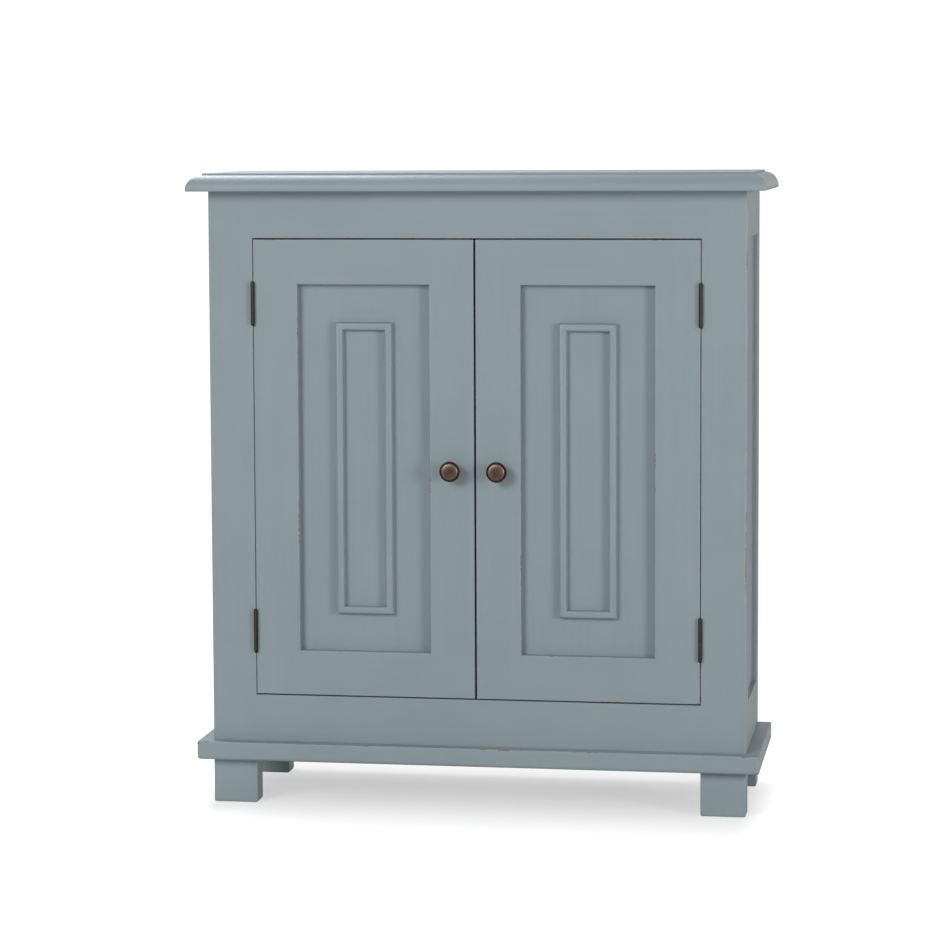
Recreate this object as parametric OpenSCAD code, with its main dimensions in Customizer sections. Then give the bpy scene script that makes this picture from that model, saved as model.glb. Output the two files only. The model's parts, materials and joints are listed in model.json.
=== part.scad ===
// Painted two-door icebox cabinet: a face-framed carcass with sunk side panels, on a
// slab plinth and four block feet, with two inset doors on butt hinges.
// +X is the cabinet's right as seen from the front, +Y is towards the wall, +Z is up.
// The origin is on the floor, under the middle of the top board.

/* [Carcass] */
// Width of the carcass, without the overhangs
body_w = 840; // [760:10:960]
// Depth of the carcass, from the face of the doors to the wall
body_d = 270; // [250:10:360]
// Height of the carcass, from the plinth to the underside of the top
body_h = 865; // [780:5:980]
// Thickness of all the framing boards
board_t = 22; // [20:1:25]
// Thickness of the sunk panels
panel_t = 6; // [5:1:7]

/* [Face frame] */
// Width of the two stiles
stile_w = 70; // [64:1:84]
// Height of the rail over the doors
top_rail_h = 73; // [64:1:90]
// Height of the rail under the doors
bottom_rail_h = 73; // [64:1:90]

/* [Sides] */
// Depth of the side frame's front edge as it shows from the side, face frame included
side_front_w = 50; // [46:1:60]
// Width of the side frame's rear stile
side_rear_w = 34; // [30:1:44]
// Depth from the outside of a side to its sunk panel
side_recess = 8; // [6:1:9]

/* [Doors] */
// Gap between a door and the face frame on the hinge side
hinge_gap = 1; // [0.8:0.1:2]
// Gap between a door and the face frame at the top and the bottom
end_gap = 2; // [1.5:0.1:3]
// Gap between the two doors
meeting_gap = 3; // [2:0.1:4]
// Width of a door's stiles and rails
member_w = 70; // [60:1:76]
// Depth from the face of a door to its sunk panel
door_recess = 13; // [9:1:14]
// Width of the round-topped bead on a door panel
bead_w = 12; // [8:0.5:13]
// Height of the bead's straight sides, under its half-round top
bead_side_h = 5; // [1:0.5:6]
// Distance from the door's inner edge to the bead
bead_inset = 59; // [40:1:64]

/* [Hinges] */
// Height of a hinge, without the tips of its pin
hinge_h = 64; // [50:1:76]
// Diameter of the hinge barrel
barrel_d = 6; // [5:0.5:8]
// Diameter of the hinge pin
pin_d = 3; // [2.5:0.25:3.5]
// Distance from a door's end to the middle of its hinge
hinge_inset = 100; // [80:5:140]

/* [Knobs] */
// Diameter of a knob
knob_d = 32; // [26:1:38]
// How far a knob stands out from its door
knob_out = 26; // [22:1:28]

/* [Top] */
// Thickness of the top board
top_t = 28; // [26:1:34]
// Overhang of the top at the front and the sides
top_over = 30; // [28:1:40]
// Radius of the quarter-round on the top's edge
ovolo_r = 22; // [16:1:22]

/* [Base] */
// Thickness of the plinth
plinth_t = 29; // [24:1:34]
// Overhang of the plinth at the front and the sides
plinth_over = 22; // [16:1:28]
// Width of the plinth's members
plinth_w = 90; // [84:1:96]
// Height of the feet
foot_h = 71; // [60:1:90]
// Width of a foot, as seen from the front
foot_w = 70; // [60:1:80]
// Depth of a foot, as seen from the side
foot_d = 38; // [36:1:50]

/* [Shelf] */
// Thickness of the shelf
shelf_t = 18; // [16:1:20]

/* [Hidden] */
$fn = 48;

// Planes of the carcass
front_y = top_over - (body_d + top_over) / 2;
back_y = front_y + body_d;
frame_y = front_y + board_t;
half_w = body_w / 2;
inner_x = half_w - board_t;
body_z = foot_h + plinth_t;
top_z = body_z + body_h;
height = top_z + top_t;

// The opening in the face frame, and the frame's mortise and tenon joints
open_x = half_w - stile_w;
open_z0 = body_z + bottom_rail_h;
open_z1 = top_z - top_rail_h;
tenon_l = 20;
tenon_t = 8;
tenon_shoulder = 10;

// Grooves that hold the sunk panels, and the play that lets a panel swell
groove = 8;
panel_play = 1;
side_y0 = front_y + side_front_w;
side_y1 = back_y - side_rear_w;

// Back, floor and the cleats that carry them
back_t = 6;
back_rebate = 10;
back_rail_t = 20;
back_rail_h = 70;
floor_t = 18;
cleat = 20;
back_rail_y = back_y - back_t - back_rail_t;
floor_z = open_z0 - floor_t;

// Doors
door_x0 = meeting_gap / 2;
door_x1 = open_x - hinge_gap;
door_z0 = open_z0 + end_gap;
door_z1 = open_z1 - end_gap;
door_z = (door_z0 + door_z1) / 2;
panel_x0 = door_x0 + member_w;
panel_x1 = door_x1 - member_w;
panel_z0 = door_z0 + member_w;
panel_z1 = door_z1 - member_w;
panel_y = front_y + door_recess;
mitre_gap = 0.05;

// Hinges: the leaves lie in the gap with a hair between them
leaf_t = 1.5;
leaf_play = 0.05;
leaf_depth = 18;
knuckles = 5;
knuckle_play = 0.1;
bore_play = 0.05;
barrel_play = 0.2;
hinge_x = open_x - hinge_gap / 2;
hinge_y = front_y - barrel_d / 2 - barrel_play;
hinge_zs = [door_z0 + hinge_inset, door_z1 - hinge_inset];
knuckle_h = hinge_h / knuckles;
notch_y = barrel_d / 2 + 0.15;

// Knobs
knob_x = door_x0 + member_w / 2;
knob_screw_d = 4;

// Feet and plinth
foot_x0 = half_w - foot_w;
plinth_y0 = front_y - plinth_over;
plinth_x1 = half_w + plinth_over;

// Shelf and the pins under it
shelf_z = door_z - shelf_t / 2;
shelf_play = 1.5;
shelf_y0 = frame_y + 6;
shelf_y1 = back_y - back_t - 6;
shelf_pin_d = 5;
shelf_pin_in = 8;
shelf_hole_depth = 10;
shelf_pin_z = shelf_z - shelf_pin_d / 2;
shelf_pin_ys = [shelf_y0 + 6, back_y - side_rear_w / 2];
shelf_hole_pitch = 64;

// Magnetic catches behind the top rail, and the steel discs that they hold
catch_w = 40;
catch_t = 14;
catch_h = 24;
catch_drop = 8;
catch_face_play = 0.1;
disc_d = 18;
disc_t = 1;
disc_z = door_z1 - 10.5;

// Screws: [shank diameter, head diameter, length]
hinge_screw = [2.9, 5.2, 16];
base_screw = [4.5, 9, 50];
top_screw = [4, 8, 35];
back_screw = [3, 6, 16];
catch_screw = [3, 6, 24];

function mid(a, b) = (a + b) / 2;

paint = [0.54, 0.60, 0.63];
wood = [0.62, 0.45, 0.29];
bronze = [0.36, 0.27, 0.20];
steel = [0.62, 0.62, 0.62];

// ---- Helpers ----

// A box between two corners
module block(x, y, z) {
    translate([x[0], y[0], z[0]])
        cube([x[1] - x[0], y[1] - y[0], z[1] - z[0]]);
}

// Shapes are drawn for the right side; the left side is their mirror image
module on_left() {
    mirror([1, 0, 0])
        children();
}

module on_both() {
    children();
    on_left()
        children();
}

// A countersunk wood screw with its head at the origin, pointing along +Z
module screw(size) {
    d = size[0];
    head_l = (size[1] - d) / 2;
    tip_l = 1.5 * d;
    difference() {
        union() {
            cylinder(h = head_l, d1 = size[1], d2 = d);
            translate([0, 0, head_l])
                cylinder(h = size[2] - head_l - tip_l, d = d);
            translate([0, 0, size[2] - tip_l])
                cylinder(h = tip_l, d1 = d, d2 = d / 4);
        }
        cube([size[1] + 1, d / 4, d / 2], center = true);
    }
}

// The drilled and countersunk hole for a screw
module screw_hole(size) {
    d = size[0] + 2 * bore_play;
    head_l = (size[1] - size[0]) / 2;
    cylinder(h = head_l, d1 = size[1] + 2 * bore_play, d2 = d);
    cylinder(h = size[2] + 1, d = d);
}

// ---- Places of the fasteners ----

module at_top_screws() {
    for (x = [-0.75, 0, 0.75] * inner_x)
        translate([x, frame_y + cleat / 2, top_z - cleat])
            children();
    on_both()
        for (y = [0.25, 0.75])
            translate([inner_x - cleat / 2, frame_y + y * (back_rail_y - frame_y), top_z - cleat])
                children();
}

// Screws up through the plinth into the carcass
module at_plinth_screws() {
    for (x = [-250, 0, 250], y = [mid(front_y, frame_y), back_rail_y + back_rail_t / 2])
        translate([x, y, foot_h])
            children();
    on_both()
        for (y = [-25, 25])
            translate([half_w - board_t / 2, mid(plinth_y0, back_y) + y, foot_h])
                children();
}

// Screws down through the plinth into one foot
module at_foot_screws(y0) {
    on_both()
        for (x = [0.25, 0.75])
            translate([foot_x0 + x * foot_w, y0 + foot_d / 2, body_z])
                rotate([180, 0, 0])
                    children();
}

module at_back_screws() {
    for (x = [-300, -100, 100, 300], z = [body_z + 25, top_z - 25])
        translate([x, back_y, z])
            rotate([90, 0, 0])
                children();
    on_both()
        for (z = [0.05, 0.28, 0.5, 0.72, 0.95])
            translate([inner_x + back_rebate / 2, back_y, body_z + z * body_h])
                rotate([90, 0, 0])
                    children();
}

module at_catch_screws() {
    on_both()
        for (x = [-12, 12])
            translate([knob_x + x, frame_y + catch_t, open_z1 + 7])
                rotate([90, 0, 0])
                    children();
}

// Hinge screws of the right-hand side, driven outward into the face frame
module at_frame_hinge_screws() {
    for (z0 = hinge_zs, z = [-0.34, 0, 0.34])
        translate([hinge_x + leaf_play, front_y + leaf_depth / 2, z0 + z * hinge_h])
            rotate([0, 90, 0])
                children();
}

// The same for the door, driven into its edge
module at_door_hinge_screws() {
    for (z0 = hinge_zs, z = [-0.34, 0, 0.34])
        translate([hinge_x - leaf_play, front_y + leaf_depth / 2, z0 + z * hinge_h])
            rotate([0, -90, 0])
                children();
}

module at_shelf_pins() {
    on_both()
        for (y = shelf_pin_ys)
            translate([inner_x, y, shelf_pin_z])
                children();
}

// ---- Top ----

// What the moulding cutter takes off an edge that runs along +X, with the board behind it
module ovolo_waste(len) {
    lip = (top_t - ovolo_r) / 2;
    difference() {
        translate([-1, -1, lip])
            cube([len + 2, ovolo_r + 1, top_t]);
        translate([-2, ovolo_r, lip])
            rotate([0, 90, 0])
                cylinder(h = len + 4, r = ovolo_r, $fn = 96);
        translate([-2, ovolo_r - 1, lip])
            cube([len + 4, 2, ovolo_r]);
    }
}

module top_board() {
    w = body_w + 2 * top_over;
    d = body_d + top_over;
    y0 = front_y - top_over;
    color(paint)
        difference() {
            translate([-w / 2, y0, top_z])
                cube([w, d, top_t]);
            translate([-w / 2, y0, top_z])
                ovolo_waste(w);
            translate([w / 2, y0, top_z])
                rotate([0, 0, 90])
                    ovolo_waste(d);
            translate([-w / 2, y0 + d, top_z])
                rotate([0, 0, -90])
                    ovolo_waste(d);
            at_top_screws()
                screw_hole(top_screw);
        }
}

module top_cleats() {
    color(wood)
        difference() {
            union() {
                block([-inner_x, inner_x], [frame_y, frame_y + cleat], [top_z - cleat, top_z]);
                on_both()
                    block([inner_x - cleat, inner_x], [frame_y + cleat + 1, back_rail_y],
                        [top_z - cleat, top_z]);
            }
            at_top_screws()
                screw_hole(top_screw);
        }
}

module top_screws() {
    color(steel)
        at_top_screws()
            screw(top_screw);
}

// ---- Face frame ----

module face_tenon(z) {
    block([open_x, open_x + tenon_l], [mid(front_y, frame_y) - tenon_t / 2,
        mid(front_y, frame_y) + tenon_t / 2], [z[0] + tenon_shoulder, z[1] - tenon_shoulder]);
}

// The right-hand stile, with its mortises and the beds of its hinge leaves
module face_stile() {
    color(paint)
        difference() {
            block([open_x, half_w], [front_y, frame_y], [body_z, top_z]);
            face_tenon([body_z, open_z0]);
            face_tenon([open_z1, top_z]);
            for (z = hinge_zs)
                block([open_x - 1, hinge_x + leaf_play + leaf_t], [front_y - 1, front_y + leaf_depth],
                    [z - hinge_h / 2, z + hinge_h / 2]);
            at_frame_hinge_screws()
                screw_hole(hinge_screw);
        }
}

module face_rail(z) {
    block([-open_x, open_x], [front_y, frame_y], z);
    on_both()
        face_tenon(z);
}

module face_rail_top() {
    color(paint)
        difference() {
            face_rail([open_z1, top_z]);
            at_catch_screws()
                screw_hole(catch_screw);
        }
}

module face_rail_bottom() {
    color(paint)
        difference() {
            face_rail([body_z, open_z0]);
            at_plinth_screws()
                screw_hole(base_screw);
        }
}

// ---- Sides ----

// The space of the groove that a side panel sits in, from y[0] to y[1]
module side_groove(y, z) {
    block([half_w - side_recess - panel_t, half_w - side_recess], y, z);
}

// Holes for the shelf pins, at five heights
module shelf_holes() {
    for (y = shelf_pin_ys, k = [-2 : 2])
        translate([inner_x - 1, y, shelf_pin_z + k * shelf_hole_pitch])
            rotate([0, 90, 0])
                cylinder(h = shelf_hole_depth + 1, d = shelf_pin_d + 2 * bore_play);
}

module side_front_stile() {
    color(paint)
        difference() {
            block([inner_x, half_w], [frame_y, side_y0], [body_z, top_z]);
            side_groove([side_y0 - groove, side_y0 + 1], [body_z - 1, top_z + 1]);
            shelf_holes();
        }
}

module side_rear_stile() {
    color(paint)
        difference() {
            block([inner_x, half_w], [side_y1, back_y], [body_z, top_z]);
            side_groove([side_y1 - 1, side_y1 + groove], [body_z - 1, top_z + 1]);
            block([inner_x - 1, inner_x + back_rebate], [back_y - back_t, back_y + 1],
                [body_z - 1, top_z + 1]);
            shelf_holes();
            at_back_screws()
                screw_hole(back_screw);
        }
}

// A side rail with its end tongues; the panel's groove runs along the edge at groove_z
module side_rail(z, groove_z) {
    difference() {
        union() {
            block([inner_x, half_w], [side_y0, side_y1], z);
            side_groove([side_y0 - groove, side_y1 + groove], z);
        }
        side_groove([side_y0 - groove - 1, side_y1 + groove + 1], groove_z);
    }
}

module side_rail_top() {
    color(paint)
        side_rail([open_z1, top_z], [open_z1 - 1, open_z1 + groove]);
}

module side_rail_bottom() {
    color(paint)
        difference() {
            side_rail([body_z, open_z0], [open_z0 - groove, open_z0 + 1]);
            at_plinth_screws()
                screw_hole(base_screw);
        }
}

module side_panel() {
    reach = groove - panel_play;
    color(paint)
        side_groove([side_y0 - reach, side_y1 + reach], [open_z0 - reach, open_z1 + reach]);
}

// ---- Back, floor and shelf ----

module back_panel() {
    color(wood)
        difference() {
            block([-inner_x - back_rebate, inner_x + back_rebate], [back_y - back_t, back_y],
                [body_z, top_z]);
            at_back_screws()
                screw_hole(back_screw);
        }
}

module back_rails() {
    y = [back_rail_y, back_rail_y + back_rail_t];
    color(wood)
        difference() {
            union() {
                block([-inner_x, inner_x], y, [top_z - back_rail_h, top_z]);
                block([-inner_x, inner_x], y, [body_z, floor_z]);
            }
            at_plinth_screws()
                screw_hole(base_screw);
            at_back_screws()
                screw_hole(back_screw);
        }
}

module back_screws() {
    color(steel)
        at_back_screws()
            screw(back_screw);
}

module floor_board() {
    color(wood)
        block([-inner_x, inner_x], [frame_y, back_y - back_t], [floor_z, open_z0]);
}

module floor_cleats() {
    color(wood) {
        block([-inner_x, inner_x], [frame_y, frame_y + cleat], [floor_z - cleat, floor_z]);
        on_both()
            block([inner_x - cleat, inner_x], [frame_y + cleat + 1, back_rail_y],
                [floor_z - cleat, floor_z]);
    }
}

module shelf() {
    x = inner_x - shelf_play;
    color(wood)
        block([-x, x], [shelf_y0, shelf_y1], [shelf_z, shelf_z + shelf_t]);
}

module shelf_pins() {
    collar_t = 1;
    color(steel)
        at_shelf_pins()
            rotate([0, -90, 0]) {
                translate([0, 0, -shelf_pin_in])
                    cylinder(h = 2 * shelf_pin_in, d = shelf_pin_d);
                cylinder(h = collar_t, d = shelf_pin_d);
            }
}

// ---- Base ----

module plinth_screw_holes() {
    at_plinth_screws()
        screw_hole(base_screw);
    at_foot_screws(front_y)
        screw_hole(base_screw);
    at_foot_screws(back_y - foot_d)
        screw_hole(base_screw);
}

module plinth_front() {
    color(paint)
        difference() {
            block([-plinth_x1, plinth_x1], [plinth_y0, plinth_y0 + plinth_w], [foot_h, body_z]);
            plinth_screw_holes();
        }
}

module plinth_back() {
    color(paint)
        difference() {
            block([-plinth_x1, plinth_x1], [back_y - plinth_w, back_y], [foot_h, body_z]);
            plinth_screw_holes();
        }
}

module plinth_side() {
    color(paint)
        difference() {
            block([plinth_x1 - plinth_w, plinth_x1], [plinth_y0 + plinth_w, back_y - plinth_w],
                [foot_h, body_z]);
            plinth_screw_holes();
        }
}

// A right-hand foot whose front face is at y0
module foot(y0) {
    color(paint)
        difference() {
            block([foot_x0, half_w], [y0, y0 + foot_d], [0, foot_h]);
            at_foot_screws(y0)
                screw_hole(base_screw);
        }
}

module base_screws() {
    color(steel) {
        at_plinth_screws()
            screw(base_screw);
        at_foot_screws(front_y)
            screw(base_screw);
        at_foot_screws(back_y - foot_d)
            screw(base_screw);
    }
}

// ---- Catches ----

// A catch block behind the top rail; its lower part hangs down as the door's stop
module catches() {
    z1 = open_z1 - catch_drop + catch_h;
    x = [knob_x - catch_w / 2, knob_x + catch_w / 2];
    color(bronze)
        difference() {
            on_both() {
                block(x, [frame_y, frame_y + catch_t], [open_z1, z1]);
                block(x, [frame_y + catch_face_play, frame_y + catch_t],
                    [open_z1 - catch_drop, open_z1 + 1]);
            }
            at_catch_screws()
                screw_hole(catch_screw);
        }
}

module catch_screws() {
    color(steel)
        at_catch_screws()
            screw(catch_screw);
}

// The steel disc that a catch holds, with the spur that fixes it in the door
module disc(grow) {
    translate([knob_x, frame_y, disc_z])
        rotate([90, 0, 0]) {
            cylinder(h = disc_t, d = disc_d + 2 * grow);
            cylinder(h = 9, d = 3 + 2 * grow);
        }
}

module door_disc() {
    color(steel)
        disc(0);
}

// ---- Hinges ----

// The knuckles from first to last in steps of two, as a solid barrel of diameter d
module barrel(first, d, play) {
    for (k = [first : 2 : knuckles - 1])
        translate([0, 0, k * knuckle_h - hinge_h / 2 + play])
            cylinder(h = knuckle_h - 2 * play, d = d);
}

// A leaf with its knuckles. The first knuckle of the frame's leaf is 0 and of the door's
// is 1, and side is 1 for a leaf that lies towards +X of the pin, and -1 for the other.
module leaf(first, side) {
    x = side > 0 ? [leaf_play, leaf_play + leaf_t] : [-leaf_play - leaf_t, -leaf_play];
    y1 = front_y + leaf_depth - hinge_y;
    difference() {
        union() {
            barrel(first, barrel_d, knuckle_play / 2);
            block(x, [0, y1], [-hinge_h / 2, hinge_h / 2]);
        }
        for (k = [1 - first : 2 : knuckles - 1])
            translate([-barrel_d, -barrel_d, k * knuckle_h - hinge_h / 2 - knuckle_play / 2])
                cube([2 * barrel_d, barrel_d + notch_y, knuckle_h + knuckle_play]);
        cylinder(h = hinge_h + 2, d = pin_d + 2 * bore_play, center = true);
    }
}

module at_hinges() {
    for (z = hinge_zs)
        translate([hinge_x, hinge_y, z])
            children();
}

module frame_leaves() {
    color(bronze)
        on_both()
            difference() {
                at_hinges()
                    leaf(0, 1);
                at_frame_hinge_screws()
                    screw_hole(hinge_screw);
            }
}

module frame_hinge_screws() {
    color(bronze)
        on_both()
            at_frame_hinge_screws()
                screw(hinge_screw);
}

// A pin with a round button on each end
module hinge_pins() {
    button_r = barrel_d / 2 - 0.1;
    color(bronze)
        on_both()
            at_hinges() {
                cylinder(h = hinge_h + 1, d = pin_d, center = true);
                for (s = [0, 1])
                    mirror([0, 0, s])
                        translate([0, 0, hinge_h / 2 + knuckle_play])
                            intersection() {
                                sphere(r = button_r);
                                cylinder(h = barrel_d, r = barrel_d);
                            }
            }
}

// ---- Doors (drawn as the right-hand door) ----

// The space of the groove that a door panel sits in
module door_groove(x, z) {
    block(x, [panel_y, panel_y + panel_t], z);
}

module door_hinge_stile() {
    color(paint)
        difference() {
            block([panel_x1, door_x1], [front_y, frame_y], [door_z0, door_z1]);
            door_groove([panel_x1 - 1, panel_x1 + groove], [door_z0 - 1, door_z1 + 1]);
            for (z = hinge_zs)
                block([hinge_x - leaf_play - leaf_t, open_x], [front_y - 1, front_y + leaf_depth],
                    [z - hinge_h / 2, z + hinge_h / 2]);
            at_door_hinge_screws()
                screw_hole(hinge_screw);
        }
}

module door_meeting_stile() {
    color(paint)
        difference() {
            block([door_x0, panel_x0], [front_y, frame_y], [door_z0, door_z1]);
            door_groove([panel_x0 - groove, panel_x0 + 1], [door_z0 - 1, door_z1 + 1]);
            disc(bore_play);
            translate([knob_x, frame_y + 1, door_z])
                rotate([90, 0, 0])
                    cylinder(h = board_t + 2, d = knob_screw_d + 2 * bore_play);
        }
}

// A door rail with its end tongues; the panel's groove runs along the edge at groove_z
module door_rail(z, groove_z) {
    color(paint)
        difference() {
            union() {
                block([panel_x0, panel_x1], [front_y, frame_y], z);
                door_groove([panel_x0 - groove, panel_x1 + groove], z);
            }
            door_groove([panel_x0 - groove - 1, panel_x1 + groove + 1], groove_z);
        }
}

module door_rail_top() {
    door_rail([panel_z1, door_z1], [panel_z1 - 1, panel_z1 + groove]);
}

module door_rail_bottom() {
    door_rail([door_z0, panel_z0], [panel_z0 - groove, panel_z0 + 1]);
}

module door_panel() {
    reach = groove - panel_play;
    color(paint)
        door_groove([panel_x0 - reach, panel_x1 + reach], [panel_z0 - reach, panel_z1 + reach]);
}

// One length of round-topped bead, laid along +X on the XZ plane with mitred ends
module bead(len) {
    r = bead_w / 2;
    intersection() {
        union() {
            translate([0, -bead_side_h, r])
                rotate([0, 90, 0])
                    cylinder(h = len, r = r);
            translate([0, -bead_side_h, 0])
                cube([len, bead_side_h, bead_w]);
        }
        rotate([90, 0, 0])
            linear_extrude(bead_side_h + r + 1)
                polygon([[mitre_gap, 0], [len - mitre_gap, 0],
                    [len - bead_w - mitre_gap, bead_w], [bead_w + mitre_gap, bead_w]]);
    }
}

module door_beads() {
    x = [panel_x0 + bead_inset, panel_x1 - bead_inset];
    z = [panel_z0 + bead_inset, panel_z1 - bead_inset];
    w = x[1] - x[0];
    h = z[1] - z[0];
    color(paint)
        translate([x[0], panel_y, z[0]]) {
            bead(w);
            translate([w, 0, 0])
                rotate([0, -90, 0])
                    bead(h);
            translate([w, 0, h])
                rotate([0, 180, 0])
                    bead(w);
            translate([0, 0, h])
                rotate([0, 90, 0])
                    bead(h);
        }
}

module door_leaves() {
    color(bronze)
        difference() {
            at_hinges()
                leaf(1, -1);
            at_door_hinge_screws()
                screw_hole(hinge_screw);
        }
}

module door_hinge_screws() {
    color(bronze)
        at_door_hinge_screws()
            screw(hinge_screw);
}

// Outline of the knob from its foot to the middle of its face: radius, then height
function knob_outline() =
    let (
        r = knob_d / 2,
        edge = 3,
        edge_h = knob_out - 5
    )
    concat(
        [[0, 0], [8, 0], [8, 1.5], [6.5, 3], [5, 6], [5, knob_out - 15]],
        [for (a = [20 : 14 : 90]) [r - edge - (r - edge - 5) * cos(a), knob_out - 15 + 5 * sin(a)]],
        [for (a = [-60 : 15 : 75]) [r - edge + edge * cos(a), edge_h + edge * sin(a)]],
        [for (a = [0 : 15 : 90]) [(r - edge - 0.6) * cos(a), knob_out - 2 + 2 * sin(a)]]
    );

module door_knob() {
    color(bronze)
        translate([knob_x, front_y, door_z])
            rotate([90, 0, 0])
                difference() {
                    rotate_extrude()
                        polygon(knob_outline());
                    translate([0, 0, -1])
                        cylinder(h = 11, d = knob_screw_d + 2 * bore_play);
                }
}

module door_knob_screw() {
    head_t = 2;
    color(steel)
        translate([knob_x, frame_y, door_z])
            rotate([90, 0, 0]) {
                cylinder(h = board_t + 9, d = knob_screw_d);
                translate([0, 0, -head_t])
                    difference() {
                        cylinder(h = head_t, d = 9);
                        cube([10, 1.2, 2], center = true);
                    }
            }
}

top_board();
on_left() face_stile();  // face_stile_left
face_stile();  // face_stile_right
face_rail_top();
face_rail_bottom();
on_left() side_front_stile();  // side_front_stile_left
side_front_stile();  // side_front_stile_right
on_left() side_rear_stile();  // side_rear_stile_left
side_rear_stile();  // side_rear_stile_right
on_left() side_rail_top();  // side_rail_top_left
side_rail_top();  // side_rail_top_right
on_left() side_rail_bottom();  // side_rail_bottom_left
side_rail_bottom();  // side_rail_bottom_right
on_left() side_panel();  // side_panel_left
side_panel();  // side_panel_right
back_panel();
back_rails();
floor_board();
floor_cleats();
top_cleats();
plinth_front();
plinth_back();
on_left() plinth_side();  // plinth_left
plinth_side();  // plinth_right
on_left() foot(front_y);  // foot_front_left
foot(front_y);  // foot_front_right
on_left() foot(back_y - foot_d);  // foot_rear_left
foot(back_y - foot_d);  // foot_rear_right
base_screws();
top_screws();
back_screws();
catches();
catch_screws();
frame_leaves();
frame_hinge_screws();
hinge_pins();
shelf_pins();
shelf();
on_left() door_hinge_stile();  // door_left_hinge_stile
on_left() door_meeting_stile();  // door_left_meeting_stile
on_left() door_rail_top();  // door_left_rail_top
on_left() door_rail_bottom();  // door_left_rail_bottom
on_left() door_panel();  // door_left_panel
on_left() door_beads();  // door_left_beads
on_left() door_leaves();  // door_left_leaves
on_left() door_hinge_screws();  // door_left_hinge_screws
on_left() door_knob();  // door_left_knob
on_left() door_knob_screw();  // door_left_knob_screw
on_left() door_disc();  // door_left_disc
door_hinge_stile();  // door_right_hinge_stile
door_meeting_stile();  // door_right_meeting_stile
door_rail_top();  // door_right_rail_top
door_rail_bottom();  // door_right_rail_bottom
door_panel();  // door_right_panel
door_beads();  // door_right_beads
door_leaves();  // door_right_leaves
door_hinge_screws();  // door_right_hinge_screws
door_knob();  // door_right_knob
door_knob_screw();  // door_right_knob_screw
door_disc();  // door_right_disc
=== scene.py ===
"""Looks of a painted two-door icebox cabinet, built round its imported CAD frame.

Painted boards are rebuilt from the frame's own solids with their arrises eased, and carry a
"rub" attribute that says where paint wears. Everything is in metres, +Z up, front towards -Y.
"""

import json
from math import cos, pi, radians, sin

import bmesh
import bpy
from mathutils import Matrix, Vector

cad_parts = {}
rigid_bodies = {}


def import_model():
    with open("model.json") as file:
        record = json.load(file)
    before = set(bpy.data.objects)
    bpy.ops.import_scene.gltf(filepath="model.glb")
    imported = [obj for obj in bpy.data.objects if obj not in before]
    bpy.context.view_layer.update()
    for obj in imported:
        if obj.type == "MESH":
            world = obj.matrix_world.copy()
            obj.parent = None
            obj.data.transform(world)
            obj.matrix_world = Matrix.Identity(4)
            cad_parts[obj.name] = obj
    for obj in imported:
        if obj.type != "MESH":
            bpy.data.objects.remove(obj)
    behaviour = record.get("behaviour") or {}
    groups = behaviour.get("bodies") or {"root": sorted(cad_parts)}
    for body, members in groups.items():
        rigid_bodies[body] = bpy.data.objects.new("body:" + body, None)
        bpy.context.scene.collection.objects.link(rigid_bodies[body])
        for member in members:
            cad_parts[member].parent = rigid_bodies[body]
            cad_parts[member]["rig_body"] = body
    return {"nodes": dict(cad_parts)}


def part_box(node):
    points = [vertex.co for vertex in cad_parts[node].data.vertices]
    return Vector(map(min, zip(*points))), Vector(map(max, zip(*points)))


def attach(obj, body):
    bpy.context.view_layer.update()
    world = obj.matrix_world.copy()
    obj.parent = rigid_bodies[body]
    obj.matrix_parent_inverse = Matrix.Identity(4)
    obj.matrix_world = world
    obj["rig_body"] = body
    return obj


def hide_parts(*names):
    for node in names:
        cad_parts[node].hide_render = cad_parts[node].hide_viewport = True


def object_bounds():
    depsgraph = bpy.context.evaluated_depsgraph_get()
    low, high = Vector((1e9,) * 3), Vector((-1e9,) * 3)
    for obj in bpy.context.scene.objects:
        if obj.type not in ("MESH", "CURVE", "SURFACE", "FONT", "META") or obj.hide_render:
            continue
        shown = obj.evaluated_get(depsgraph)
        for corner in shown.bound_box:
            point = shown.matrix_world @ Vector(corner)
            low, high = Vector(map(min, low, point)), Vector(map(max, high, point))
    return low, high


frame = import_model()
cad_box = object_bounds()
nodes = frame["nodes"]
MM = 0.001
TINY = 1e-5


# ---- Shaders ----

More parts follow.
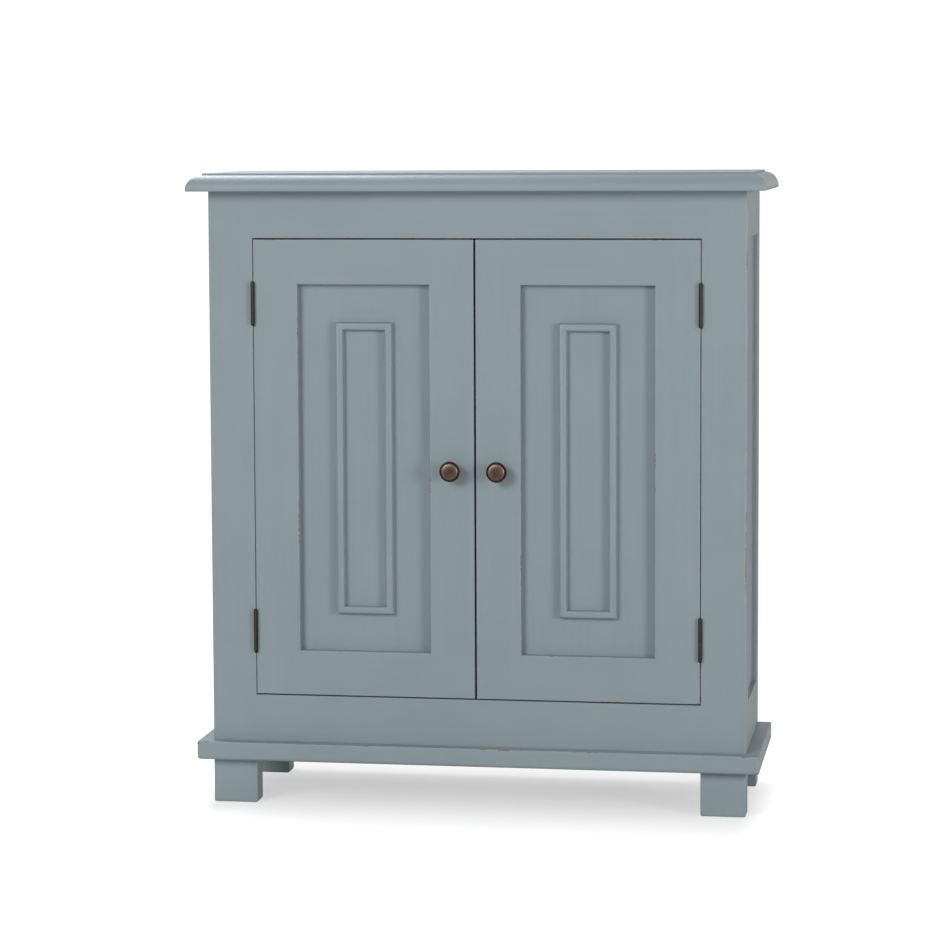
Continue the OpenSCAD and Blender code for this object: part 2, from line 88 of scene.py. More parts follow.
class Shader:
    """Writes one node material: each call adds a node and returns its output socket."""

    def __init__(self, name):
        self.mat = bpy.data.materials.new(name)
        self.mat.use_nodes = True
        self.tree = self.mat.node_tree
        self.tree.nodes.clear()

    def add(self, kind, inputs, output=0, **settings):
        node = self.tree.nodes.new("ShaderNode" + kind)
        for key, value in settings.items():
            setattr(node, key, value)
        for key, value in inputs.items():
            if isinstance(value, bpy.types.NodeSocket):
                self.tree.links.new(value, node.inputs[key])
            else:
                node.inputs[key].default_value = value
        return node.outputs[output]

    def place(self, scale, shift):
        coords = self.add("TexCoord", {}, "Object")
        return self.add("Mapping", {"Vector": coords, "Location": shift, "Scale": scale})

    def noise(self, scale, detail=3.0, rough=0.5, stretch=(1, 1, 1), shift=(0, 0, 0)):
        vector = self.place(stretch, shift)
        return self.add("TexNoise", {"Vector": vector, "Scale": scale, "Detail": detail,
                                     "Roughness": rough})

    def sums(self, op, a, b=0.0):
        return self.add("Math", {0: a, 1: b}, operation=op)

    def remap(self, value, lo, hi, to_lo=0.0, to_hi=1.0):
        return self.add("MapRange", {"Value": value, "From Min": lo, "From Max": hi,
                                     "To Min": to_lo, "To Max": to_hi})

    def spread(self, noise, to_lo=0.0, to_hi=1.0):
        """Stretches the middle of a noise's range to this one."""
        return self.remap(noise, 0.3, 0.7, to_lo, to_hi)

    def blend(self, share, a, b, mode="MIX"):
        return self.add("Mix", {0: share, 6: a, 7: b}, 2, data_type="RGBA", blend_type=mode)

    def stored(self, name):
        """A value kept on the mesh under this name."""
        return self.add("Attribute", {}, "Fac", attribute_name=name)

    def split(self, output):
        """The x, y and z of one output of the texture coordinates."""
        xyz = self.tree.nodes.new("ShaderNodeSeparateXYZ")
        self.tree.links.new(self.add("TexCoord", {}, output), xyz.inputs[0])
        return xyz.outputs

    def bump(self, height, depth):
        """Relief whose full range of height is depth, in metres."""
        return self.add("Bump", {"Height": height, "Distance": depth, "Strength": 1.0})

    def surface(self, **inputs):
        names = {"colour": "Base Color", "rough": "Roughness", "metal": "Metallic",
                 "normal": "Normal", "shine": "Specular IOR Level"}
        shader = self.add("BsdfPrincipled", {names[k]: v for k, v in inputs.items()})
        self.add_output(shader)
        return self.mat

    def add_output(self, shader):
        out = self.tree.nodes.new("ShaderNodeOutputMaterial")
        self.tree.links.new(shader, out.inputs["Surface"])


def rgb(r, g, b):
    return (r, g, b, 1.0)


def along(axis, squeeze):
    """Scale that draws a pattern out along one axis."""
    return tuple(squeeze if a == axis else 1.0 for a in "xyz")


BARE_SHARE = 0.72      # how much of the wood's colour shows where paint is worn through
SEAM = 0.35 * MM       # half the width of the dark line where two planks are glued
FIRST_SEAM = 0.35      # share of a plank by which the seams stand off the middle of the cabinet


def paint(name, grain, tone, shift):
    """Satin blue-grey paint brushed along the grain, rubbed through where rub is high.

    tone scales the colour, which the sunk panels lower as painted shade, and shift moves the brush
    marks and chips so that boards differ.
    """
    s = Shader(name)
    move = (shift, 0.37 * shift, 0.61 * shift)
    clouds = s.noise(5, 4, 0.6)
    strokes = s.noise(150, 4, 0.6, along(grain, 0.025), move)
    hairs = s.noise(1100, 3, 0.6, along(grain, 0.02), move)
    peel = s.noise(700, 2, 0.5, shift=move)
    dark = rgb(0.225 * tone, 0.289 * tone, 0.312 * tone)
    light = rgb(0.262 * tone, 0.324 * tone, 0.350 * tone)
    tint = s.sums("ADD", s.spread(clouds, 0.15, 0.65), s.spread(strokes, 0.0, 0.2))
    coat = s.blend(tint, dark, light)

    # Where an arris has lost its paint, brown wood shows through what is left of the coat
    rub = s.stored("rub")
    chips = s.noise(9, 6, 0.62, shift=move)
    nicks = s.noise(210, 4, 0.6, shift=move)
    loss = s.sums("ADD", s.spread(chips, -0.75, 0.35), s.spread(nicks, -0.2, 0.2))
    wear = s.sums("ADD", rub, loss)
    bare = s.remap(wear, 0.92, 1.02)
    thin = s.remap(wear, 0.45, 1.0, 0.0, 0.35)
    wood = s.blend(s.spread(hairs), rgb(0.15, 0.092, 0.066), rgb(0.28, 0.175, 0.125))
    undercoat = rgb(0.34, 0.36, 0.36)
    colour = s.blend(thin, coat, undercoat)
    colour = s.blend(s.sums("MULTIPLY", bare, BARE_SHARE), colour, wood)

    rough = s.sums("ADD", s.spread(strokes, 0.40, 0.50), s.sums("MULTIPLY", bare, 0.25))
    relief = s.sums("ADD", s.sums("MULTIPLY", strokes, 0.9),
                    s.sums("ADD", s.sums("MULTIPLY", hairs, 0.25), s.sums("MULTIPLY", peel, 0.35)))
    relief = s.sums("SUBTRACT", relief, s.sums("MULTIPLY", bare, 1.2))
    return s.surface(colour=colour, rough=rough, normal=s.bump(relief, depth=0.08 * MM),
                     shine=0.4)


def timber(name, grain, across, plank, early, late, rough=0.5):
    """Oiled boards glued edge to edge, each plank wide, with its own tone and figure."""
    s = Shader(name)
    coords = s.add("TexCoord", {}, "Object")
    pos = s.sums("DIVIDE", s.split("Object")["xyz".index(across)], plank)
    counted = s.sums("ADD", pos, FIRST_SEAM)
    which = s.sums("FLOOR", counted)
    # Each plank reads the pattern at a place of its own
    chance = s.add("TexWhiteNoise", {"W": which}, "Value", noise_dimensions="1D")
    moved = s.add("CombineXYZ", {0: s.sums("MULTIPLY", chance, 7.0),
                                 1: s.sums("MULTIPLY", chance, 3.0), 2: chance})
    spot = s.add("VectorMath", {0: coords, 1: moved}, operation="ADD")
    # Growth rings are a sine through a field that is drawn out along the grain
    drawn = s.add("Mapping", {"Vector": spot, "Scale": along(grain, 0.10)})
    field = s.add("TexNoise", {"Vector": drawn, "Scale": 7.0, "Detail": 2.0, "Roughness": 0.4,
                               "Distortion": 0.4})
    rings = s.sums("SINE", s.sums("MULTIPLY", field, 85.0))
    fine = s.add("Mapping", {"Vector": spot, "Scale": along(grain, 0.03)})
    pores = s.add("TexNoise", {"Vector": fine, "Scale": 900.0, "Detail": 3.0})
    flame = s.add("TexNoise", {"Vector": fine, "Scale": 90.0, "Detail": 3.0})
    share = s.sums("ADD", s.remap(rings, -1, 1, 0.0, 0.55), s.spread(flame, 0.0, 0.45))
    colour = s.blend(share, early, late)
    colour = s.blend(s.remap(pores, 0.55, 0.75, 0.0, 0.4), colour, rgb(0.05, 0.028, 0.016))
    tone = s.remap(chance, 0, 1, 0.82, 1.12)
    level = s.add("CombineColor", {0: tone, 1: tone, 2: tone})
    colour = s.blend(1.0, colour, level, "MULTIPLY")
    edge = s.sums("ABSOLUTE", s.sums("SUBTRACT", s.sums("FRACT", counted), 0.5))
    seam = s.remap(edge, 0.5 - SEAM / plank, 0.5)
    colour = s.blend(s.sums("MULTIPLY", seam, 0.8), colour, rgb(0.03, 0.018, 0.01))
    relief = s.sums("SUBTRACT", s.sums("MULTIPLY", rings, 0.25), s.sums("MULTIPLY", pores, 0.9))
    relief = s.sums("SUBTRACT", relief, seam)
    return s.surface(colour=colour, rough=s.remap(pores, 0.3, 0.8, rough - 0.06, rough + 0.1),
                     normal=s.bump(relief, depth=0.12 * MM))


def aged_bronze(name, dark, worn_or_sheen, level_from, worn_or_sheen_from, worn_or_sheen_to, gloss):
    """Bronze with a dark patina, rubbed back to metal where level_from gives a high value; where
    level_from follows the way a surface faces, the lighter metal is a painted highlight rather
    than wear.
    """
    s = Shader(name)
    spots = s.noise(700, 4, 0.62)
    clouds = s.noise(110, 3, 0.5, shift=(0.3, 0.1, 0.7))
    pits = s.noise(2600, 2, 0.5)
    level = s.sums("ADD", s.spread(spots, -0.32, 0.32), s.spread(clouds, -0.08, 0.08))
    level = s.sums("ADD", level, level_from(s))
    share = s.remap(level, worn_or_sheen_from, worn_or_sheen_to)
    colour = s.blend(share, dark, worn_or_sheen)
    rough = s.sums("ADD", s.remap(share, 0, 1, gloss + 0.16, gloss),
                   s.spread(pits, -0.04, 0.06))
    relief = s.sums("ADD", s.sums("MULTIPLY", pits, 0.4), s.sums("MULTIPLY", spots, 0.6))
    return s.surface(colour=colour, rough=rough, metal=s.remap(share, 0, 1, 0.75, 1.0),
                     normal=s.bump(relief, depth=0.06 * MM))


def patina_level(s):
    """How far each ring of a knob is rubbed back."""
    return s.stored("patina")


def front_painted_highlight(s):
    """Hinges get a painted highlight along the front of the barrel and painted shade round its
    sides, from the way each surface faces.
    """
    facing = s.split("Normal")[1]
    return s.remap(facing, -1.0, -0.85, 0.9, 0.2)


def zinc(name):
    """Zinc plate with faint spangle and dull spots."""
    s = Shader(name)
    spangle = s.noise(700, 2, 0.5)
    dull = s.noise(160, 4, 0.6)
    colour = s.blend(s.spread(spangle), rgb(0.36, 0.37, 0.37), rgb(0.52, 0.52, 0.50))
    colour = s.blend(s.remap(dull, 0.55, 0.7, 0.0, 0.5), colour, rgb(0.25, 0.24, 0.22))
    return s.surface(colour=colour, rough=s.spread(dull, 0.28, 0.5), metal=1.0,
                     normal=s.bump(spangle, depth=0.02 * MM))


def brown_plastic(name):
    """Moulded plastic with a fine spark-eroded grain."""
    s = Shader(name)
    grain = s.noise(2200, 2, 0.5)
    clouds = s.noise(60, 2, 0.5)
    colour = s.blend(s.spread(clouds), rgb(0.085, 0.052, 0.034), rgb(0.125, 0.08, 0.052))
    return s.surface(colour=colour, rough=s.spread(grain, 0.42, 0.6),
                     normal=s.bump(grain, depth=0.05 * MM))


# Paint by the axis its brush marks follow
PAINT = {"x": paint("paint_lengthways", "x", 1.0, 0.0),
         "y": paint("paint_depthways", "y", 1.0, 2.1),
         "z": paint("paint_upright", "z", 1.0, 4.3)}
# The sunk panels take a slightly darker copy of the paint, painted shade for their recess
SUNK_SHADED_PAINT = paint("paint_panel_shaded", "z", 0.985, 6.2)
SHELF_WOOD = timber("oiled_boards", "x", "y", 85 * MM,
                    rgb(0.42, 0.255, 0.14), rgb(0.27, 0.145, 0.075))
BACK_WOOD = timber("oiled_back", "z", "x", 210 * MM,
                   rgb(0.44, 0.275, 0.155), rgb(0.31, 0.175, 0.092), 0.6)
CLEAT_WOOD = timber("plain_cleats", "x", "z", 500 * MM,
                    rgb(0.45, 0.29, 0.165), rgb(0.33, 0.19, 0.10), 0.62)
KNOB_METAL = aged_bronze("knob_bronze", rgb(0.018, 0.014, 0.011), rgb(0.195, 0.133, 0.099),
                         patina_level, worn_or_sheen_from=0.1, worn_or_sheen_to=0.9, gloss=0.36)
# On the hinges the lighter bronze is a painted highlight along the front of each barrel, and the
# dark one is painted shade round its sides
HINGE_METAL = aged_bronze("hinge_bronze", rgb(0.014, 0.011, 0.010), rgb(0.105, 0.080, 0.063),
                          front_painted_highlight, worn_or_sheen_from=0.3, worn_or_sheen_to=1.1, gloss=0.30)
STEEL = zinc("zinc_plate")
PLASTIC = brown_plastic("catch_plastic")


# ---- Helpers for pieces ----

def made(name, bm, stands_for, material):
    """Turns a bmesh into a piece that stands for CAD nodes and rides with the first of them."""
    mesh = bpy.data.meshes.new(name)
    bm.to_mesh(mesh)
    bm.free()
    piece = bpy.data.objects.new(name, mesh)
    bpy.context.scene.collection.objects.link(piece)
    mesh.materials.append(material)
    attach(piece, nodes[stands_for[0]]["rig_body"])
    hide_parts(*stands_for)
    return piece


def crisp(bm, degrees=30):
    """Smooth shading with sharp edges where faces turn by more than this angle."""
    for face in bm.faces:
        face.smooth = True
    for edge in bm.edges:
        turned = len(edge.link_faces) == 2 and edge.calc_face_angle(0) > radians(degrees)
        edge.smooth = not turned


def flat_faces_true(piece):
    """Large faces keep their own normals, so that eased arrises shade into them cleanly."""
    weighted = piece.modifiers.new("flat_faces", "WEIGHTED_NORMAL")
    weighted.keep_sharp = True
    weighted.weight = 90


# ---- Boards with eased arrises ----

PAINTED = [n for n in nodes if n.split("_")[0] in ("face", "side", "plinth", "foot")]
PAINTED += [f"door_{s}_{m}" for s in ("left", "right")
            for m in ("hinge_stile", "meeting_stile", "rail_top", "rail_bottom", "panel")]
BARE = ["back_panel", "back_rails", "floor_board", "floor_cleats", "top_cleats", "shelf"]
BOXES = {n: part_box(n) for n in PAINTED + BARE + ["top_board"]}
FEEL = 0.3 * MM      # how far outside a face a joined neighbour is felt for
SEAL = 0.4 * MM      # length over which an eased arris dies out where a joint begins
RUB_W = 6.5 * MM     # how far rubbing reaches in from an arris; wider than any radius
MAX_EASE = 5 * MM    # arris radii are stored as shares of this
FINEST = 2e-6        # vertices closer than this are one


def recess_side(node, sides):
    """Whether an arris of a door member borders the door's sunk panel."""
    across = "z" if "rail" in node else "x"
    door = node.split("_")[1]
    panel = (BOXES[f"door_{door}_panel"][0] + BOXES[f"door_{door}_panel"][1]) / 2
    own = (BOXES[node][0] + BOXES[node][1]) / 2
    axis = "xyz".index(across)
    return across in sides and (panel - own)[axis] * sides[across] > 0


def ease(node, sides):
    """Radius of the arris between two outer faces; sides maps an axis to -1 or 1."""
    kind = node.split("_")[0]
    if kind == "plinth":
        below_or_above = {-1: 4.6, 1: 1.8}
        return below_or_above.get(sides.get("z"), 2.5) * MM
    if kind == "foot":
        return (3.0 if sides.get("z") == -1 else 1.5) * MM
    if kind in ("face", "side"):
        outer = "x" in sides and "y" in sides and node.split("_")[1] != "rail"
        return (1.8 if outer else 0.8) * MM
    if kind == "door":
        if sides.get("y") != -1:
            return 0.7 * MM
        return (1.7 if recess_side(node, sides) else 0.8) * MM
    return {"back": 0.4, "shelf": 1.5}.get(kind, 1.0) * MM


def joined_spans(node, k, i, vi, si, j, vj, sj):
    """Lengths along axis k where the arris at i=vi, j=vj runs flush into another board."""
    spans = []
    for other, (lo, hi) in BOXES.items():
        if other == node:
            continue
        for a, b in ((vi + si * FEEL, vj - sj * FEEL), (vi - si * FEEL, vj + sj * FEEL)):
            if lo[i] < a < hi[i] and lo[j] < b < hi[j]:
                spans.append((lo[k], hi[k]))
    return spans


def outer_arrises(node):
    """The twelve arrises of a board's box.

    Each is (k, i, vi, si, j, vj, sj, radius, spans): it runs along axis k, where axis i is vi on
    side si and axis j is vj on side sj, and spans are the lengths where it is joined.
    """
    lo, hi = BOXES[node]
    found = []
    for k in range(3):
        i, j = [a for a in range(3) if a != k]
        for si in (-1, 1):
            for sj in (-1, 1):
                vi, vj = (hi if si > 0 else lo)[i], (hi if sj > 0 else lo)[j]
                radius = ease(node, {"xyz"[i]: si, "xyz"[j]: sj})
                spans = joined_spans(node, k, i, vi, si, j, vj, sj)
                found.append((k, i, vi, si, j, vj, sj, radius, spans))
    return found


def slice_at(bm, axis, value):
    normal = [0, 0, 0]
    normal[axis] = 1
    point = [c * value for c in normal]
    bmesh.ops.bisect_plane(bm, geom=bm.verts[:] + bm.edges[:] + bm.faces[:], dist=TINY / 10,
                           plane_co=point, plane_no=normal)


def board(node, material, wear=1.0):
    """A board from its CAD solid, with rounded arrises where it doesn't run flush into another."""
    lo, hi = BOXES[node]
    bm = bmesh.new()
    bm.from_mesh(nodes[node].data)
    bmesh.ops.remove_doubles(bm, verts=bm.verts, dist=FINEST)
    bmesh.ops.dissolve_limit(bm, angle_limit=radians(0.5), verts=bm.verts, edges=bm.edges)
    arrises = outer_arrises(node)
    cuts = set()
    for k, i, vi, si, j, vj, sj, radius, spans in arrises:
        free = not any(a < lo[k] + TINY and b > hi[k] - TINY for a, b in spans)
        if free:
            cuts.add((i, round(vi - si * RUB_W, 6)))
            cuts.add((j, round(vj - sj * RUB_W, 6)))
        for a, b in spans:
            for t, outward in ((a, -1), (b, 1)):
                if lo[k] + TINY < t < hi[k] - TINY:
                    for step in (-SEAL, 0, RUB_W):
                        cuts.add((k, round(t + outward * step, 6)))
    for axis, value in sorted(cuts):
        if lo[axis] + TINY < value < hi[axis] - TINY:
            slice_at(bm, axis, value)
    crisp(bm)

    weight = bm.edges.layers.float.new("bevel_weight_edge")
    rub = bm.verts.layers.float.new("rub")
    for k, i, vi, si, j, vj, sj, radius, spans in arrises:
        for edge in bm.edges:
            a, b = edge.verts[0].co, edge.verts[1].co
            if max(abs(a[i] - vi), abs(b[i] - vi), abs(a[j] - vj), abs(b[j] - vj)) > TINY:
                continue
            middle = (a[k] + b[k]) / 2
            if any(s < middle < e for s, e in spans):
                continue
            edge[weight] = radius / MAX_EASE
            edge.smooth = True
            for vert in edge.verts:
                t = vert.co[k]
                if not any(s - TINY < t < e + TINY for s, e in spans):
                    vert[rub] = wear
    piece = made("board_" + node, bm, [node], material)
    bevel = piece.modifiers.new("eased", "BEVEL")
    bevel.limit_method = "WEIGHT"
    bevel.offset_type = "OFFSET"
    bevel.width = MAX_EASE
    bevel.segments = 3
    bevel.use_clamp_overlap = False
    bevel.loop_slide = False
    flat_faces_true(piece)


def grain_of(node):
    """Grain runs along a board's longest side."""
    lo, hi = BOXES[node]
    size = hi - lo
    return "xyz"[max(range(3), key=lambda a: size[a])]


WEAR = {"plinth_front": 1.05, "face_stile_right": 1.1, "face_rail_top": 1.05}
USUAL_WEAR = 0.95
for node in PAINTED:
    if "panel" in node:
        board(node, SUNK_SHADED_PAINT, 0.0)
    else:
        board(node, PAINT[grain_of(node)], WEAR.get(node, USUAL_WEAR))
board("shelf", SHELF_WOOD)
board("floor_board", SHELF_WOOD)
board("back_panel", BACK_WOOD)
for node in ("back_rails", "floor_cleats", "top_cleats"):
    board(node, CLEAT_WOOD)


# ---- Top board with its moulded edge ----

def quarter(steps):
    """Angles over a quarter turn, both ends included."""
    return [0.5 * pi * n / steps for n in range(steps + 1)]


def rounded_path(x0, x1, y0, y1, inset, corner, steps=5):
    """Left, front and right edges of a board seen from above, with rounded front corners."""
    xa, xb, ya = x0 + inset, x1 - inset, y0 + inset
    cy = ya + corner
    path = [(xa, y1)]
    for cx, start in ((xa + corner, pi), (xb - corner, 1.5 * pi)):
        for turn in quarter(steps):
            path.append((cx + corner * cos(start + turn), cy + corner * sin(start + turn)))
    path.append((xb, y1))
    return path


RUBBED_RIM = 8 * MM    # how far rubbing reaches in over the top
CORNER = 3 * MM        # the front corners seen from above


def moulded_top():
    """The top board with a quarter-round edge between two small arrises."""
    node = "top_board"
    lo, hi = BOXES[node]
    upper = [v.co.x for v in nodes[node].data.vertices if v.co.z > hi.z - TINY]
    radius = min(upper) - lo.x
    thick = hi.z - lo.z
    lip = (thick - radius) / 2
    ease_low, ease_top = 1.3 * MM, 0.6 * MM
    profile = []     # inset from the edge, height, and how much the paint is rubbed
    for turn in quarter(4):
        profile.append((ease_low * (1 - sin(turn)), ease_low * (1 - cos(turn)), 0.75))
    for turn in quarter(18):
        profile.append((radius * (1 - cos(turn)), lip + radius * sin(turn), 0.0))
    for turn in quarter(4):
        profile.append((radius + ease_top * (1 - cos(turn)),
                        thick - ease_top * (1 - sin(turn)), 0.7))
    profile.append((radius + RUBBED_RIM, thick, 0.0))
    bm = bmesh.new()
    rub = bm.verts.layers.float.new("rub")
    rows = []
    for inset, height, wear in profile:
        row = []
        for x, y in rounded_path(lo.x, hi.x, lo.y, hi.y, inset, CORNER):
            vert = bm.verts.new((x, y, lo.z + height))
            vert[rub] = wear
            row.append(vert)
        rows.append(row)
    for low, high in zip(rows, rows[1:]):
        for a, b, c, d in zip(low, low[1:], high[1:], high):
            bm.faces.new((a, b, c, d))
    bm.faces.new(rows[0][::-1])
    bm.faces.new(rows[-1])
    bm.faces.new([row[0] for row in rows] + [row[-1] for row in rows[::-1]])
    bmesh.ops.recalc_face_normals(bm, faces=bm.faces)
    crisp(bm)
    flat_faces_true(made("moulded_top", bm, [node], PAINT["x"]))


moulded_top()


# ---- Beads on the door panels ----

BEAD_POWER = 0.7     # 1 gives a half-round crown; less gives a flatter one with full shoulders
BEAD_STEPS = 28
OUTER_FOOT = 5 * MM  # corners nearer the outline than this are the outer foot of the bead


def bead_frame(side):
    """Four mitred lengths of round-topped bead with a little paint gathered along their feet."""
    node = f"door_{side}_beads"
    lo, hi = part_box(node)
    feet = [v.co.x - lo.x for v in nodes[node].data.vertices if v.co.y > hi.y - TINY]
    wide = min(x for x in feet if x > OUTER_FOOT)
    half = wide / 2
    shoulder = hi.y - lo.y - half
    fillet = [(-0.7 * MM, 0.0), (-0.25 * MM, 0.2 * MM), (0.0, 0.8 * MM)]
    outline = list(fillet)
    for n in range(BEAD_STEPS + 1):
        turn = pi * n / BEAD_STEPS
        across = abs(cos(turn)) ** BEAD_POWER * (1 if turn < pi / 2 else -1)
        outline.append((half - half * across, shoulder + half * abs(sin(turn)) ** BEAD_POWER))
    outline += [(wide - inset, out) for inset, out in reversed(fillet)]
    bm = bmesh.new()
    bm.verts.layers.float.new("rub")    # stays 0, because the beads aren't worn
    rows = []
    for inset, out in outline:
        x0, x1, z0, z1 = lo.x + inset, hi.x - inset, lo.z + inset, hi.z - inset
        y = hi.y - out
        corners = ((x0, y, z0), (x1, y, z0), (x1, y, z1), (x0, y, z1))
        rows.append([bm.verts.new(corner) for corner in corners])
    for a, b in zip(rows, rows[1:] + rows[:1]):
        for n in range(4):
            m = (n + 1) % 4
            bm.faces.new((a[n], a[m], b[m], b[n]))
    bmesh.ops.recalc_face_normals(bm, faces=bm.faces)
    crisp(bm, 28)
    made(node + "_run", bm, [node], PAINT["z"])


# ---- Knobs ----

KNOB = [  # radius and height in mm, and how far the patina is rubbed back
    (0.0, 0.02, 0.0), (8.0, 0.02, 0.0), (8.2, 0.7, 0.25), (8.0, 1.3, 0.3), (7.3, 1.8, 0.1),
    (6.4, 2.6, 0.0), (5.5, 4.0, 0.0), (5.1, 6.0, 0.05), (5.0, 8.5, 0.1), (5.1, 10.6, 0.05),
    (5.7, 12.5, 0.0), (7.2, 14.3, 0.0), (9.6, 15.9, 0.0), (12.2, 17.2, 0.0), (14.3, 18.4, 0.02),
    (15.5, 19.6, 0.05), (16.0, 21.0, 0.1), (15.85, 22.0, 0.12), (15.3, 22.9, 0.1),
    (14.6, 23.3, 0.02), (14.1, 23.2, 0.0), (13.8, 22.9, 0.0), (13.5, 22.85, 0.0),
    (13.3, 23.3, 0.2), (13.1, 24.0, 0.6), (12.6, 24.7, 0.85), (11.8, 25.2, 0.9),
    (10.7, 25.55, 0.75), (9.2, 25.78, 0.55), (7.2, 25.92, 0.42), (4.8, 25.98, 0.34),
    (2.4, 26.0, 0.3), (0.0, 26.0, 0.28)]


def knob(side, turns=72):
    """A turned knob with a dished ring round its face and a foot against the door."""
    node = f"door_{side}_knob"
    lo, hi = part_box(node)
    centre = (lo + hi) / 2
    bm = bmesh.new()
    patina = bm.verts.layers.float.new("patina")
    rings = []
    for radius, height, worn_or_sheen in KNOB:
        y = hi.y - height * MM
        count = 1 if radius == 0 else turns
        ring = []
        for n in range(count):
            turn = 2 * pi * n / turns
            vert = bm.verts.new((centre.x + radius * MM * cos(turn), y,
                                 centre.z + radius * MM * sin(turn)))
            vert[patina] = worn_or_sheen
            ring.append(vert)
        rings.append(ring)
    for a, b in zip(rings, rings[1:]):
        for n in range(turns):
            m = (n + 1) % turns
            corners = [a[n % len(a)], a[m % len(a)], b[m % len(b)], b[n % len(b)]]
            bm.faces.new(list(dict.fromkeys(corners)))
    bmesh.ops.recalc_face_normals(bm, faces=bm.faces)
    crisp(bm, 50)
    made(node + "_turned", bm, [node], KNOB_METAL)


for side in ("left", "right"):
    bead_frame(side)
    knob(side)


# ---- Metal and plastic parts that keep their CAD shape ----

def finish_node(node, material, radius):
    """Gives a CAD node its material and rounds its sharp edges by radius, unless that is 0."""
    part = nodes[node]
    part.data.materials.clear()
    part.data.materials.append(material)
    weld = part.modifiers.new("weld", "WELD")
    weld.merge_threshold = FINEST
    flat = part.modifiers.new("flat", "DECIMATE")
    flat.decimate_type = "DISSOLVE"
    flat.angle_limit = radians(0.5)
    if radius:
        bevel = part.modifiers.new("eased", "BEVEL")
        bevel.limit_method = "ANGLE"
        bevel.angle_limit = radians(35)
        bevel.offset_type = "OFFSET"
        bevel.width = radius
        bevel.segments = 2
        bevel.use_clamp_overlap = True
        bevel.loop_slide = False
    flat_faces_true(part)


FINISHES = [
    (HINGE_METAL, 0.2 * MM, ["frame_leaves", "door_left_leaves", "door_right_leaves"]),
    (HINGE_METAL, 0.0, ["hinge_pins", "frame_hinge_screws", "door_left_hinge_screws",
                        "door_right_hinge_screws"]),
    (STEEL, 0.0, ["base_screws", "top_screws", "back_screws", "catch_screws", "shelf_pins",
                  "door_left_knob_screw", "door_right_knob_screw", "door_left_disc",
                  "door_right_disc"]),
    (PLASTIC, 0.5 * MM, ["catches"])]
for material, radius, members in FINISHES:
    for node in members:
        finish_node(node, material, radius)


# ---- Room, light and camera ----

FLOOR_REACH = 40.0     # metres from the middle to an edge, out of the picture
SIDE_FADE = 5.0        # how much faster the floor's glow rises to the sides than to the front
# The floor's glow is least under the cabinet, where the painted shadow is darkest
GLOW_LEAST = 0.54      # under the cabinet
GLOW_FULL_AT = 0.33    # metres in front of the cabinet


def white_floor():
    """A pale floor with a soft painted shadow round the cabinet that runs out to plain white."""
    bm = bmesh.new()
    corners = [(-FLOOR_REACH, -FLOOR_REACH, 0), (FLOOR_REACH, -FLOOR_REACH, 0),
               (FLOOR_REACH, FLOOR_REACH, 0), (-FLOOR_REACH, FLOOR_REACH, 0)]
    bm.faces.new([bm.verts.new(c) for c in corners])
    mesh = bpy.data.meshes.new("floor")
    bm.to_mesh(mesh)
    bm.free()
    floor = bpy.data.objects.new("floor", mesh)
    bpy.context.scene.collection.objects.link(floor)
    s = Shader("pale_floor")
    # Only the camera sees the glow, which grows with distance from a strip under the cabinet and
    # so paints the shadow round it
    half_x = BOXES["foot_front_right"][1].x - 20 * MM
    half_y = 60 * MM
    spot = s.split("Object")
    past_x = s.sums("MAXIMUM", s.sums("SUBTRACT", s.sums("ABSOLUTE", spot[0]), half_x))
    past_y = s.sums("MAXIMUM", s.sums("SUBTRACT", s.sums("ABSOLUTE", spot[1]), half_y))
    steep_x = s.sums("MULTIPLY", past_x, SIDE_FADE)
    away = s.sums("SQRT", s.sums("ADD", s.sums("MULTIPLY", steep_x, steep_x),
                                 s.sums("MULTIPLY", past_y, past_y)))
    painted_shadow_glow = s.remap(away, 0.0, GLOW_FULL_AT, GLOW_LEAST, 1.0)
    seen = s.add("LightPath", {}, "Is Camera Ray")
    # The camera sees the floor darker than the light it throws back, so the lamps' own shadows
    # show only faintly under the painted one
    colour = s.blend(seen, rgb(0.80, 0.80, 0.80), rgb(0.35, 0.35, 0.35))
    diffuse = s.add("BsdfDiffuse", {"Color": colour})
    extra = s.add("Emission", {"Color": rgb(1, 1, 1), "Strength": s.sums("MULTIPLY", seen, painted_shadow_glow)})
    s.add_output(s.add("AddShader", {0: diffuse, 1: extra}))
    mesh.materials.append(s.mat)


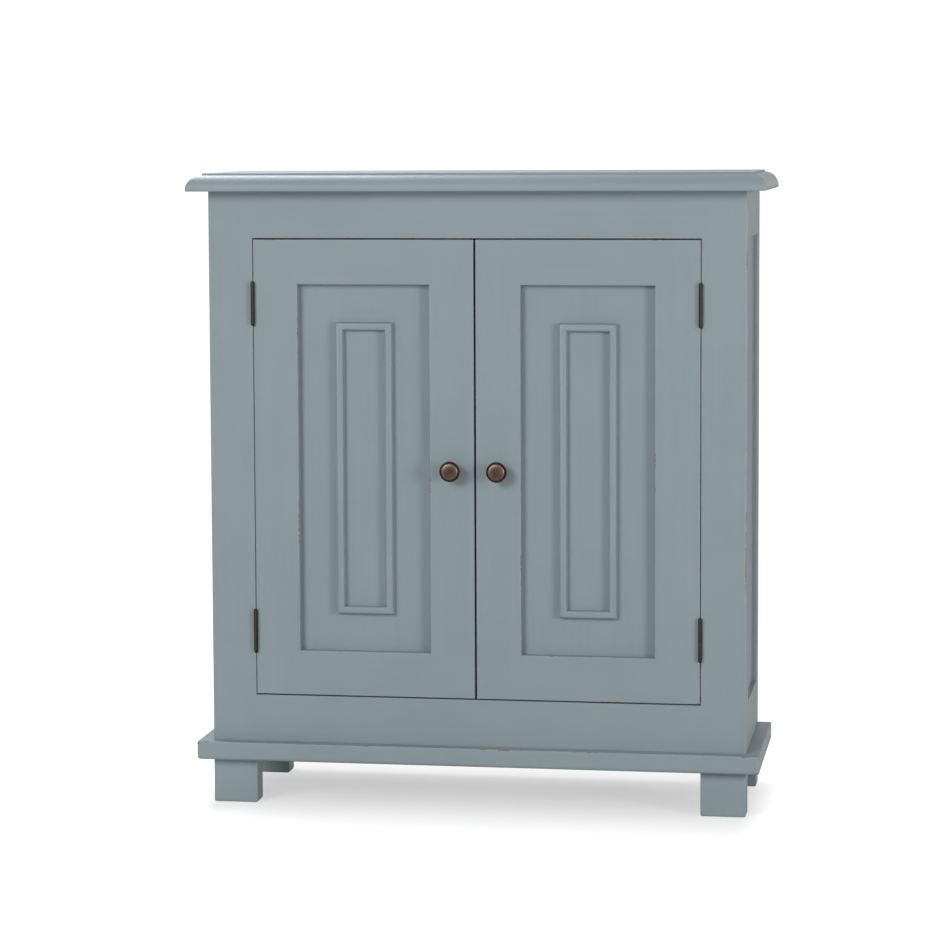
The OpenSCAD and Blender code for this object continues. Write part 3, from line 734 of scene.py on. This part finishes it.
def white_world(light, shown, mirrored):
    """Even studio white: its strength as light, as background and in reflections."""
    world = bpy.data.worlds.new("studio")
    bpy.context.scene.world = world
    world.use_nodes = True
    tree = world.node_tree
    tree.nodes.clear()
    path = tree.nodes.new("ShaderNodeLightPath")
    first = tree.nodes.new("ShaderNodeMix")
    second = tree.nodes.new("ShaderNodeMix")
    back = tree.nodes.new("ShaderNodeBackground")
    out = tree.nodes.new("ShaderNodeOutputWorld")
    tree.links.new(path.outputs["Is Glossy Ray"], first.inputs[0])
    first.inputs[2].default_value, first.inputs[3].default_value = light, mirrored
    tree.links.new(path.outputs["Is Camera Ray"], second.inputs[0])
    tree.links.new(first.outputs[0], second.inputs[2])
    second.inputs[3].default_value = shown
    back.inputs["Color"].default_value = rgb(1, 1, 1)
    tree.links.new(second.outputs[0], back.inputs["Strength"])
    tree.links.new(back.outputs[0], out.inputs["Surface"])


def softbox(name, toward, distance, wide, high, power, colour=(1, 1, 1)):
    """An area light in the given direction from the middle of the cabinet, facing it."""
    middle = (cad_box[0] + cad_box[1]) / 2
    lamp = bpy.data.lights.new(name, "AREA")
    lamp.shape = "RECTANGLE"
    lamp.size, lamp.size_y = wide, high
    lamp.energy = power
    lamp.color = colour
    item = bpy.data.objects.new(name, lamp)
    bpy.context.scene.collection.objects.link(item)
    item.location = middle + Vector(toward).normalized() * distance
    item.rotation_euler = (middle - item.location).to_track_quat("-Z", "Y").to_euler()


def photo_camera():
    """A long lens, a little to the cabinet's right and just above its top."""
    yaw, pitch, roll = -0.16744, 0.08535, -0.00491    # radians
    ahead = Vector((sin(yaw) * cos(pitch), cos(yaw) * cos(pitch), -sin(pitch)))
    level = Vector((cos(yaw), -sin(yaw), 0))
    upright = level.cross(ahead)
    right = cos(roll) * level + sin(roll) * upright
    up = -sin(roll) * level + cos(roll) * upright
    data = bpy.data.cameras.new("camera")
    data.sensor_width, data.lens = 36, 120.92    # millimetres
    data.shift_x, data.shift_y = 0.02753, -0.07799
    data.clip_end = 200
    camera = bpy.data.objects.new("camera", data)
    bpy.context.scene.collection.objects.link(camera)
    turn = Matrix((right, up, -ahead)).transposed().to_4x4()
    camera.matrix_world = Matrix.Translation((0.76367, -4.92191, 1.06372)) @ turn
    bpy.context.scene.camera = camera


white_floor()
white_world(0.14, 1.1, 0.85)
softbox("key", (-13.5, -25, 11.5), 8.5, 3.2, 2.8, 342)
softbox("fill", (0.80, -0.58, 0.13), 4.5, 1.2, 1.6, 84, (1.0, 0.95, 0.93))
softbox("flank", (1.0, 0.12, 0.1), 4.5, 1.6, 1.6, 22, (1.0, 0.93, 0.90))
softbox("over", (-0.52, 0.35, 1.0), 1.75, 0.9, 0.9, 22)
photo_camera()
bpy.context.scene.view_settings.view_transform = "Standard"
